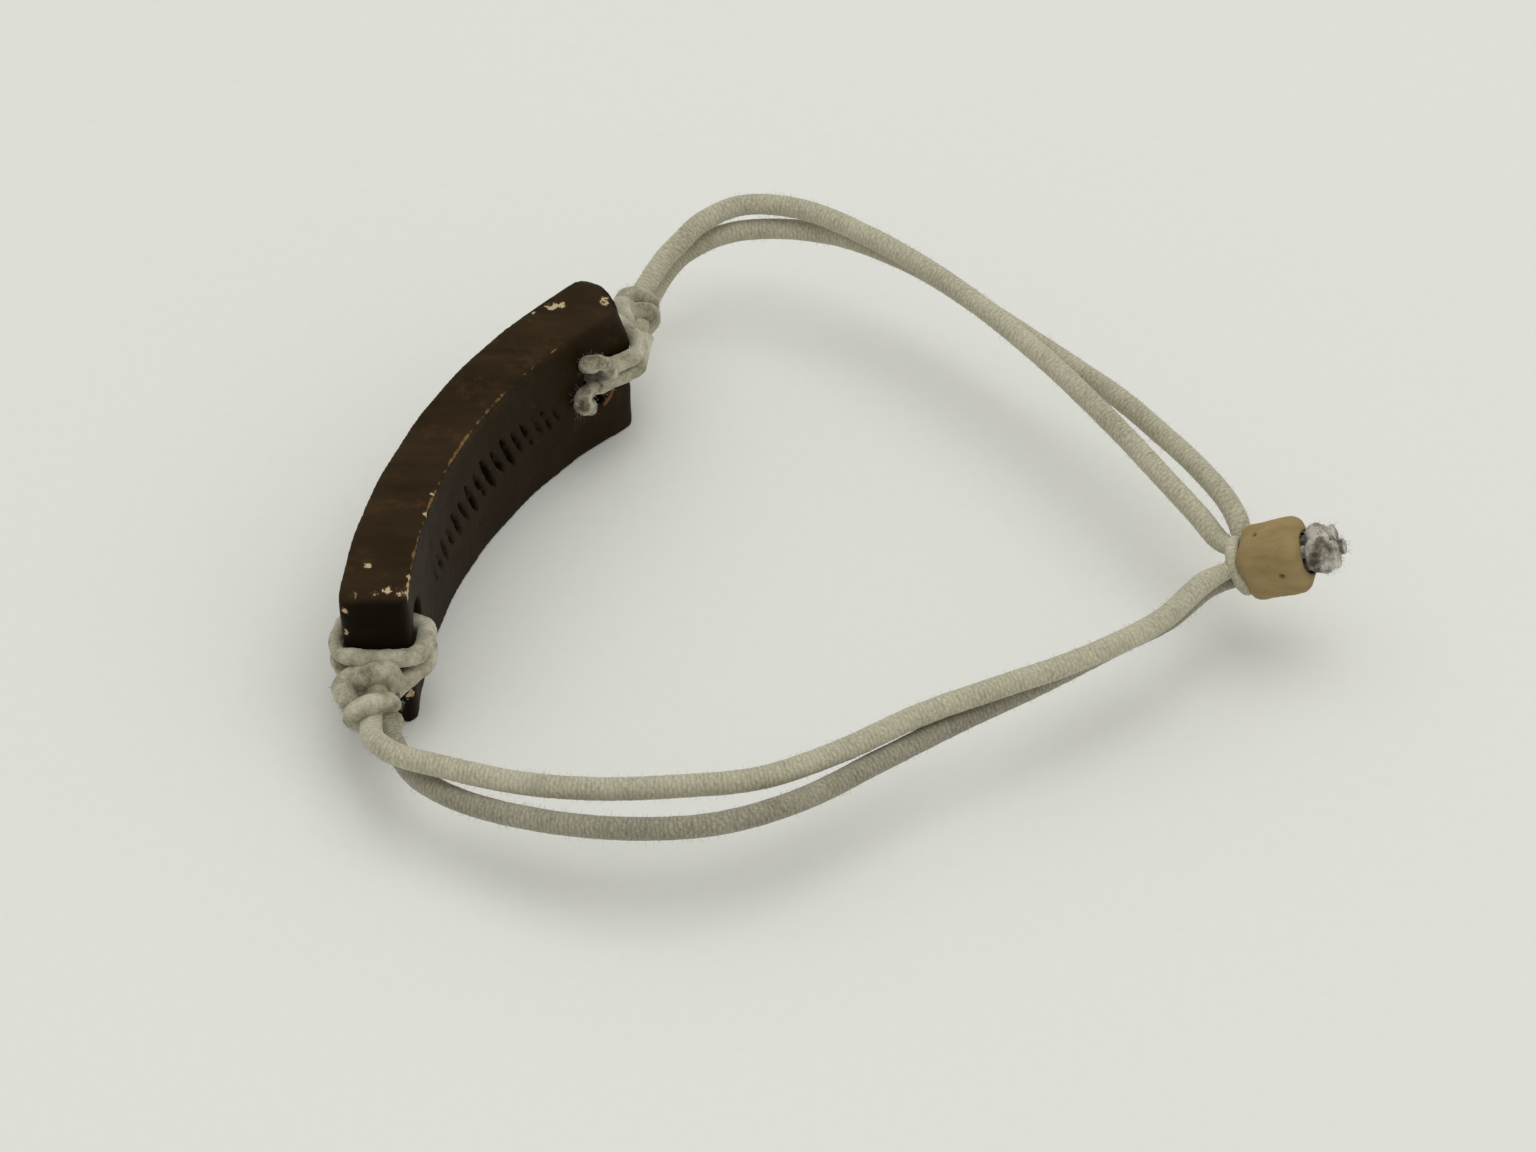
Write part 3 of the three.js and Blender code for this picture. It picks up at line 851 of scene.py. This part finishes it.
# Carved row of slanting gouges on the inner face: along, up, lean, half length, half width, depth.
CARVED_GOUGES = [
    (-10.6, 6.6, -0.42, 1.0, 0.24, 0.20), (-9.3, 6.9, -0.46, 1.6, 0.28, 0.28),
    (-7.9, 7.1, -0.42, 2.0, 0.32, 0.36), (-6.4, 7.3, -0.48, 1.7, 0.30, 0.30),
    (-4.9, 7.6, -0.44, 2.3, 0.40, 0.45), (-3.3, 7.7, -0.47, 2.0, 0.34, 0.38),
    (-1.7, 7.9, -0.43, 2.5, 0.44, 0.55), (0.0, 8.0, -0.46, 2.2, 0.38, 0.45),
    (1.6, 8.1, -0.44, 2.6, 0.46, 0.60), (3.3, 8.1, -0.48, 2.1, 0.40, 0.50),
    (4.9, 8.1, -0.43, 2.5, 0.44, 0.55), (6.5, 8.0, -0.46, 1.9, 0.34, 0.40),
    (8.0, 7.9, -0.44, 2.2, 0.36, 0.42), (9.5, 7.8, -0.47, 1.6, 0.30, 0.32),
    (10.8, 7.6, -0.43, 1.8, 0.30, 0.30), (12.1, 7.4, -0.46, 1.2, 0.24, 0.22),
]

# Chips in the lacquer: along, out, up, reach.
CHIPS = [
    (17.0, 1.5, 14.5, 0.60), (17.6, 1.1, 14.5, 0.50), (21.4, -1.3, 14.0, 0.7), (21.8, -2.1, 13.7, 0.5),
    (15.3, 2.1, 14.5, 0.22), (-20.8, -1.4, 14.1, 0.55), (-21.0, -2.5, 14.0, 0.6), (-21.3, -0.5, 13.9, 0.5),
    (-20.8, -3.2, 13.9, 0.6), (-20.0, -3.2, 14.1, 0.55), (-19.0, -3.1, 14.2, 0.45), (-17.9, -3.1, 14.4, 0.3),
    (-18.3, 0.6, 14.3, 0.35), (-21.4, 1.2, 13.8, 0.5), (-22.3, 2.0, 13.0, 0.4), (-22.2, 2.2, 10.5, 0.4),
    (-11.4, -2.6, 14.5, 0.35), (-9.0, -2.5, 14.6, 0.3), (9.5, -2.9, 14.6, 0.3), (-0.4, -2.7, 3.6, 0.2),
    (21.9, -2.6, 5.0, 0.45), (-22.2, -3.0, 3.4, 0.6),
]

# The corner that is worn round and the place that it is worn towards, as along, out and up.
WORN_CORNER = (22.4, -3.2, 14.2)
WORN_TOWARDS = (17.6, 0.0, 10.8)
WORN_REACH = 4.6 * MM
WORN_DEPTH = 1.3 * MM

# Depths and heights on the bar.
CHIP_DEPTH = 0.12
CARVED_UP = 7.8
CARVED_HALF_HEIGHT = 5
SHARP_BULGE = 0.16


def evened_draw(mesh, draw, rounds):
    """Random heights evened over neighbouring points, with a deviation of one."""
    heights = spread(mesh, draw.normal(size=len(mesh.vertices)), rounds)
    return heights / heights.std()


def carved_depth(along, out, up, ragged, slow):
    """How deep the gouges are at each point, in millimetres."""
    carving = np.zeros(len(along))
    for at, high, lean, half_long, half_wide, depth in CARVED_GOUGES:
        across = (along - at) * math.cos(lean) - (up - high) * math.sin(lean)
        length = (along - at) * math.sin(lean) + (up - high) * math.cos(lean)
        width = half_wide * np.sqrt(np.clip(1 - (length / half_long) ** 2, 0, 1)) + 1e-6
        hollow = np.clip(1 - (across / width) ** 2, 0, 1) * (np.abs(length) < half_long) * depth
        carving = np.maximum(carving, hollow * np.clip(0.85 + 0.35 * ragged + 0.3 * slow, 0.1, 1.4))
    return carving * (soft_step(-out, 1.8, 2.3) * (np.abs(up - CARVED_UP) < CARVED_HALF_HEIGHT))


def chip_strength(along, out, up):
    """1 in the middle of each chip, and 0 from one and a half times its reach outwards."""
    chip = np.zeros(len(along))
    for at, aside, high, reach in CHIPS:
        away = np.sqrt((along - at) ** 2 + (out - aside) ** 2 + (up - high) ** 2)
        chip = np.maximum(chip, np.clip(1.5 - away / reach, 0, 1))
    return chip


def worn_back(points):
    """How the worn corner's points move, in metres."""
    corner = np.array(on_bar(*WORN_CORNER))
    inwards = np.array(on_bar(*WORN_TOWARDS)) - corner
    near_corner = np.clip(1 - np.linalg.norm(points - corner, axis=1) / WORN_REACH, 0, 1) ** 1.3
    return inwards / np.linalg.norm(inwards) * near_corner[:, None] * WORN_DEPTH


def mark_holes(mesh, along, out, up):
    """Painted shade inside the holes, and a worn rim on their outer lower side."""
    from_hole = np.hypot((np.abs(along) - HOLE_ALONG) / HOLE_HALF_WIDTH, (up - HOLE_UP) / HOLE_HALF_HEIGHT)
    mark(mesh, "hole_inside", soft_step(1.04 - from_hole, 0.0, 0.06))
    outer_side = soft_step(np.abs(along) - HOLE_ALONG, 0.2, 0.6) * soft_step(HOLE_UP - up, 0.0, 0.6)
    rim = soft_step(0.12 - np.abs(from_hole - 1.12), 0.02, 0.08)
    mark(mesh, "hole_rim", rim * outer_side * soft_step(-out, 2.2, 2.6))


def make_bar():
    bar = rounded(cad_copy("wood_bar"), "carved_bar", BAR_VOXEL, 5, lacquered_wood())
    mesh = bar.data
    points = points_of(mesh)
    normals = normals_of(mesh)
    even = spread(mesh, points, 12)
    bulge = ((points - even) * normals).sum(axis=1) / MM
    along, out, up = bar_places(points)
    draw = np.random.default_rng(11)
    ragged = evened_draw(mesh, draw, 3)
    slow = evened_draw(mesh, draw, 14)
    carving = carved_depth(along, out, up, ragged, slow)
    chip = chip_strength(along, out, up)
    inner_top = (up > 12) & (out < 0.2) & (along > -21) & (along < 13)
    edge_wear = np.clip(bulge / SHARP_BULGE, 0, 1) * np.where(inner_top, 1.0, 0.42)
    wave = 0.05 * np.sin(along * 0.9 + out) + 0.04 * np.sin(up * 1.3 + along * 0.35)
    lift = wave * 0.6 - carving - CHIP_DEPTH * chip + 0.006 * ragged
    near_hole = np.exp(-(((np.abs(along) - HOLE_ALONG) / 3.2) ** 2 + ((up - HOLE_UP) / 4.0) ** 2))
    lift = lift * (1 - 0.7 * near_hole)
    put_points(mesh, points + normals * (lift * MM)[:, None] + worn_back(points))
    mark(mesh, "edge_wear", spread(mesh, edge_wear, 1))
    mark(mesh, "carving", np.clip(carving / 0.5, 0, 1))
    beside_carving = np.clip(spread(mesh, carving, 6) / 0.12, 0, 1)
    mark(mesh, "carved_rim", beside_carving * np.clip(1 - carving / 0.12, 0, 1))
    mark_holes(mesh, along, out, up)
    # Painted shade over the inner face, below the top.
    mark(mesh, "inner_shade", soft_step(-out, 1.9, 2.4) * soft_step(14.3 - up, 0.0, 0.7))
    # Darker paint on the end faces.
    mark(mesh, "end_grain", soft_step(np.abs(along), 21.7, 22.3))
    mark(mesh, "chip", chip)
    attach(bar, "bar")
    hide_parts("wood_bar")


make_bar()

# ---------------------------------------------------------------- turns and knots on the bar

TURN_RADIUS = TURN_DIAMETER / 2 / MM
TURN_GAP = 0.05
OUTER_SQUASH = 0.70
KNOT_ROOM = 1.6
WRAP_PITCH = 1.5
INNER_OUT = BAR_THICK_MIDDLE / 2 - BAR_THICK_ENDS - TURN_RADIUS - TURN_GAP
OUTER_OUT = BAR_THICK_MIDDLE / 2 + TURN_RADIUS * OUTER_SQUASH + TURN_GAP
END_ALONG = BAR_HALF_LENGTH + TURN_RADIUS + TURN_GAP


def half_turn(side, face_out, up_hole, up_face):
    reach = TURN_RADIUS + TURN_GAP
    return [
        on_bar(side * HOLE_ALONG, math.copysign(0.3, face_out), up_hole),
        on_bar(side * HOLE_ALONG, face_out * 0.6, up_hole),
        on_bar(side * (HOLE_ALONG + 0.6), face_out * 0.93, up_hole * 0.85 + up_face * 0.15),
        on_bar(side * (HOLE_ALONG + 1.9), face_out, up_hole * 0.5 + up_face * 0.5),
        on_bar(side * (END_ALONG - 1.7 * reach), face_out, up_face),
        on_bar(side * (END_ALONG - 0.5 * reach), face_out * 0.82, up_face),
    ]


def whole_turn(side, up_hole, up_face):
    inner = half_turn(side, INNER_OUT, up_hole, up_face)
    outer = half_turn(side, OUTER_OUT, up_hole, up_face)
    across = [on_bar(side * END_ALONG, face_out * 0.35, up_face) for face_out in (INNER_OUT, OUTER_OUT)]
    return [*inner, *across, *outer[::-1]]


def open_turn(side, up_hole, up_face, knot_up):
    inner = half_turn(side, INNER_OUT, up_hole, up_face)[1:]
    outer = half_turn(side, OUTER_OUT, up_hole, up_face)[1:]
    inner_end = on_bar(side * (END_ALONG + KNOT_ROOM), INNER_OUT * 0.45, knot_up)
    outer_end = on_bar(side * (END_ALONG + KNOT_ROOM), OUTER_OUT * 0.4, knot_up)
    return [inner_end, *inner[::-1], on_bar(side * HOLE_ALONG, 0, up_hole), *outer, outer_end]


def knot_route(centre, reach, facing, spin):
    """A pulled-tight overhand knot: three lobes seen from its facing side."""
    turn = Vector(facing).normalized().to_track_quat("Z", "Y").to_matrix() @ Matrix.Rotation(spin, 3, "Z")
    found = []
    for t in np.linspace(0.25, 2 * math.pi + 0.1, 60):
        flat = Vector(
            (
                (math.sin(t) + 2 * math.sin(2 * t)) / 3 * reach[0],
                (math.cos(t) - 2 * math.cos(2 * t)) / 3 * reach[1],
                -math.sin(3 * t) * reach[2],
            )
        )
        found.append(centre + turn @ flat * MM)
    return found


def wrap_route(centre, axis, wide, radii, turns, start):
    """Turns round a bundle of cords: an oval, wider along the wide direction."""
    axis = Vector(axis).normalized()
    wide = Vector(wide)
    wide = (wide - axis * wide.dot(axis)).normalized()
    narrow = axis.cross(wide)
    found = []
    for t in np.linspace(0, 2 * math.pi * turns, int(30 * turns)):
        around = wide * (radii[0] * math.cos(t + start)) + narrow * (radii[1] * math.sin(t + start))
        found.append((Vector(centre) + around + axis * (WRAP_PITCH * (t / (2 * math.pi) - turns / 2))) * MM)
    return found


def plain_ride(piece, body, slot, *nodes):
    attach(piece, body)
    if nodes:
        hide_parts(*nodes)


def pulled_tight(points):
    """Thinner where the cord lies on the bar's outer face, from its full size elsewhere."""
    _, out, _ = bar_places(points)
    return 1 - (1 - OUTER_SQUASH) * soft_step(out, 1.6, 2.9)


def uneven(points, amount, first, last):
    """The cord's swelling and thinning along its route."""
    return 1 + amount * np.sin(np.linspace(first, last, len(points)))


SMOOTH_KNIT = {"Rib_Depth": 0.010 * MM, "Lump": 0.16 * MM}
KNOT_KNIT = {"Rib_Depth": 0.008 * MM, "Lump": 0.18 * MM}
TAIL_KNIT = {"Rib_Depth": 0.008 * MM, "Lump": 0.24 * MM}
CLOSING_KNIT = {"Rib_Depth": 0.012 * MM, "Lump": 0.24 * MM}
CUT_KNIT = {"Rib_Depth": 0.012 * MM, "Lump": 0.26 * MM}


def make_end(end, side, upper, lower, knot_at, reach, knot_cord, facing, spin, wrap):
    """The two turns through the hole and round the end, and the knot that holds them."""
    for level, route in (("upper", whole_turn(side, *upper)), ("lower", open_turn(side, *lower))):
        points = smooth_route(route)
        name = f"{end}_{level}_cord"
        turn = cord_piece(name, points, TURN_DIAMETER, KNOT_COVER, pulled_tight(points), **SMOOTH_KNIT)
        plain_ride(turn, "bar", "cord_cover", f"{end}_{level}_turn")
    name = f"{end}_overhand_knot"
    route = smooth_route(knot_route(on_bar(*knot_at), reach, facing, spin))
    knot = cord_piece(name, route, knot_cord * MM, KNOT_COVER, uneven(route, 0.10, 0, 19), **KNOT_KNIT)
    route = smooth_route(wrap_route(*wrap))
    wrapped = cord_piece("wrapped", route, 1.7 * MM, KNOT_COVER, uneven(route, 0.10, 1, 12), **KNOT_KNIT)
    knot = joined(name, [knot, wrapped])
    plain_ride(knot, "bar", "cord_cover", f"{end}_knot")
    fibres = {"Per_Square_Metre": 5e6, "Fibre_Length": 0.42 * MM, "Seed": 5}
    fluff = fibre_piece(f"{end}_knot_fluff", knot, KNOT_COVER, **fibres)
    plain_ride(fluff, "bar", "cord_cover")


# Each end. Of each turn, the height in the hole and on the faces, and for the lower one at the knot. Of the
# knot, where it is as along, out and up, its reach, cord, facing direction and spin. Of its wrap, the centre,
# axis, wide direction, radii, number of turns and start.
NEAR_END = {
    "side": -1,
    "upper": (7.9, 8.6),
    "lower": (6.2, 6.6, 6.4),
    "knot_at": (-25.6, 0.1, 7.4),
    "reach": (2.2, 1.7, 0.8),
    "knot_cord": 1.9,
    "facing": (-0.30, -1.0, 0.70),
    "spin": 0.5,
    "wrap": ((-5.2, -26.4, 6.7), (0.30, -1.0, -0.35), (1.0, 0.0, -0.5), (1.75, 1.25), 1.6, 2.6),
}
FAR_END = {
    "side": 1,
    "upper": (9.6, 9.4),
    "lower": (8.0, 7.8, 8.0),
    "knot_at": (25.3, 0.5, 8.2),
    "reach": (1.5, 1.8, 0.8),
    "knot_cord": 1.85,
    "facing": (0.5, -0.6, 0.8),
    "spin": 1.2,
    "wrap": ((15.2, 22.9, 7.2), (0.30, 1.0, 0.25), (0.2, 0.0, 1.0), (1.55, 1.25), 1.3, 0.4),
}

make_end("near", **NEAR_END)
make_end("far", **FAR_END)


# Curled cut end beside the far hole: along, out, up.
FAR_TAIL = [
    (16.2, -3.3, 10.9), (15.7, -4.1, 11.6), (16.3, -4.7, 11.9), (17.1, -5.0, 11.0), (17.4, -4.9, 9.8),
    (16.9, -4.5, 8.7), (15.9, -4.1, 8.6), (15.0, -3.95, 8.4), (14.7, -3.9, 7.5), (15.2, -3.9, 6.8),
    (15.9, -3.95, 6.4),
]


def make_far_tail():
    points = smooth_route([on_bar(*place) for place in FAR_TAIL])
    swell = uneven(points, 0.13, 0, 16)
    tail = cord_piece("far_cut_cord", points, 1.45 * MM, SOILED_PALE, swell, **TAIL_KNIT)
    plain_ride(tail, "bar", "soiled_cover", "far_tail")
    fibres = {"Per_Square_Metre": 4e6, "Fibre_Length": 0.7 * MM, "Seed": 9}
    fray = fibre_piece("far_cut_cord_fray", tail, SOILED_PALE, **fibres)
    plain_ride(fray, "bar", "soiled_cover")


make_far_tail()

# ---------------------------------------------------------------- bead and what it holds

# Pits in the bead, from its middle: along the bore, across, up, reach.
BEAD_PITS = [(0.9, -2.65, 0.2, 0.32), (-1.2, 0.6, 2.6, 0.25), (1.8, -2.3, -1.6, 0.22)]


def make_bead():
    bead = rounded(cad_copy("bead"), "worn_bead", BEAD_VOXEL, 3, bead_wood())
    mesh = bead.data
    points = points_of(mesh)
    normals = normals_of(mesh)
    local = (points / MM - np.array(BEAD_PLACE)) @ np.array(BEAD_DIRECTIONS)
    ragged = evened_draw(mesh, np.random.default_rng(4), 5)
    pit = np.zeros(len(points))
    for x, y, z, reach in BEAD_PITS:
        away = np.linalg.norm(local - np.array([x, y, z]), axis=1)
        pit = np.maximum(pit, np.clip(1 - (away / reach) ** 2, 0, 1))
    radius = np.hypot(local[:, 1], local[:, 2])
    # Painted shade round the bore's mouths, on the end faces.
    rim = np.clip(1 - (radius - 1.75) / 0.35, 0, 1) * (np.abs(local[:, 0]) > 1.5)
    wave = 0.05 * np.sin(local[:, 1] * 1.9 + 1) * np.sin(local[:, 2] * 1.7) + 0.04 * np.sin(local[:, 0] * 1.4)
    lift = wave + 0.008 * ragged - 0.25 * pit
    put_points(mesh, points + normals * (lift * (radius > 2.1) * MM)[:, None])
    mark(mesh, "pit", pit)
    mark(mesh, "bore_rim", rim)
    plain_ride(bead, "bead", "bead_wood", "bead")


make_bead()

BUNDLE_RADIUS = 1.54
BORE_START = -BEAD_LENGTH / 2
KNOT_START = BEAD_LENGTH / 2 + 0.2
CUT_CORDS = 4


def ring_route(radius, x, tilt, start, turns=1.0):
    found = []
    for t in np.linspace(start, start + 2 * math.pi * turns, 48):
        y, z = radius * math.cos(t), radius * math.sin(t)
        found.append(on_bead(x + tilt * y + 0.35 * (t - start) / (2 * math.pi * turns), y, z))
    return found


def make_mouth_wrap():
    wrap = cord_piece(
        "mouth_turn",
        smooth_route(ring_route(BUNDLE_RADIUS + 0.5, BORE_START - 0.55, -0.10, 0.6)),
        1.15 * MM,
        COVER,
        Lump=0.06 * MM,
    )
    plain_ride(wrap, "closure", "cord_cover", "mouth_wrap")


def make_cut_cord(index):
    """One of the frayed ends that stick out behind the closing knot."""
    round_angle = 2 * math.pi * (index + 0.5) / CUT_CORDS + 0.3 * math.sin(index * 2.1)
    y, z = math.cos(round_angle), math.sin(round_angle)
    last = KNOT_START + 2.3 + 0.2 * (index % 2)
    stations = [(KNOT_START + 0.8, 0.85), (KNOT_START + 1.4, 1.05), (KNOT_START + 2.0, 1.15), (last, 1.2)]
    points = smooth_route([on_bead(x, aside * y, aside * z) for x, aside in stations], 0.15 * MM)
    swell = np.linspace(0.95, 1.1, len(points))
    cut = cord_piece(f"cut_cord_{index + 1}", points, 1.35 * MM, SOILED, swell, **CUT_KNIT)
    plain_ride(cut, "closure", "soiled_cover", f"cut_end_{index + 1}")
    fibres = {"Per_Square_Metre": 9e6, "Fibre_Length": 0.7 * MM, "Seed": 20 + index}
    fray = fibre_piece(f"cut_cord_fray_{index + 1}", cut, SOILED, **fibres)
    plain_ride(fray, "closure", "soiled_cover")


def make_closing_knot():
    centre = on_bead(KNOT_START + 0.85, 0, 0)
    along = (on_bead(1, 0, 0) - on_bead(0, 0, 0)).normalized()
    route = smooth_route(knot_route(centre, (1.45, 1.45, 0.35), along, 0.5))
    swell = uneven(route, 0.12, 0, 23)
    knot = cord_piece("closing_overhand_knot", route, 1.75 * MM, SOILED, swell, **CLOSING_KNIT)
    plain_ride(knot, "closure", "soiled_cover", "closing_knot")
    fibres = {"Per_Square_Metre": 3e6, "Fibre_Length": 0.6 * MM, "Seed": 3}
    fray = fibre_piece("closing_knot_fray", knot, SOILED, **fibres)
    plain_ride(fray, "closure", "soiled_cover")
    for index in range(CUT_CORDS):
        make_cut_cord(index)
    for index in range(CUT_CORDS):
        strand = bpy.data.objects[f"bore_strand_{index + 1}"]
        strand.data.materials.clear()
        strand.data.materials.append(SOILED)


make_mouth_wrap()
make_closing_knot()

# ---------------------------------------------------------------- table

FLOOR_HALF = 1.5
FLOOR_BELOW = 0.02 * MM

floor_mesh = bpy.data.meshes.new("table_top")
corners = [(x * FLOOR_HALF, y * FLOOR_HALF, 0) for x, y in ((-1, -1), (1, -1), (1, 1), (-1, 1))]
floor_mesh.from_pydata(corners, [], [(0, 1, 2, 3)])
floor_mesh.materials.append(table_top())
floor = bpy.data.objects.new("table_top", floor_mesh)
floor.location.z = -FLOOR_BELOW
bpy.context.scene.collection.objects.link(floor)
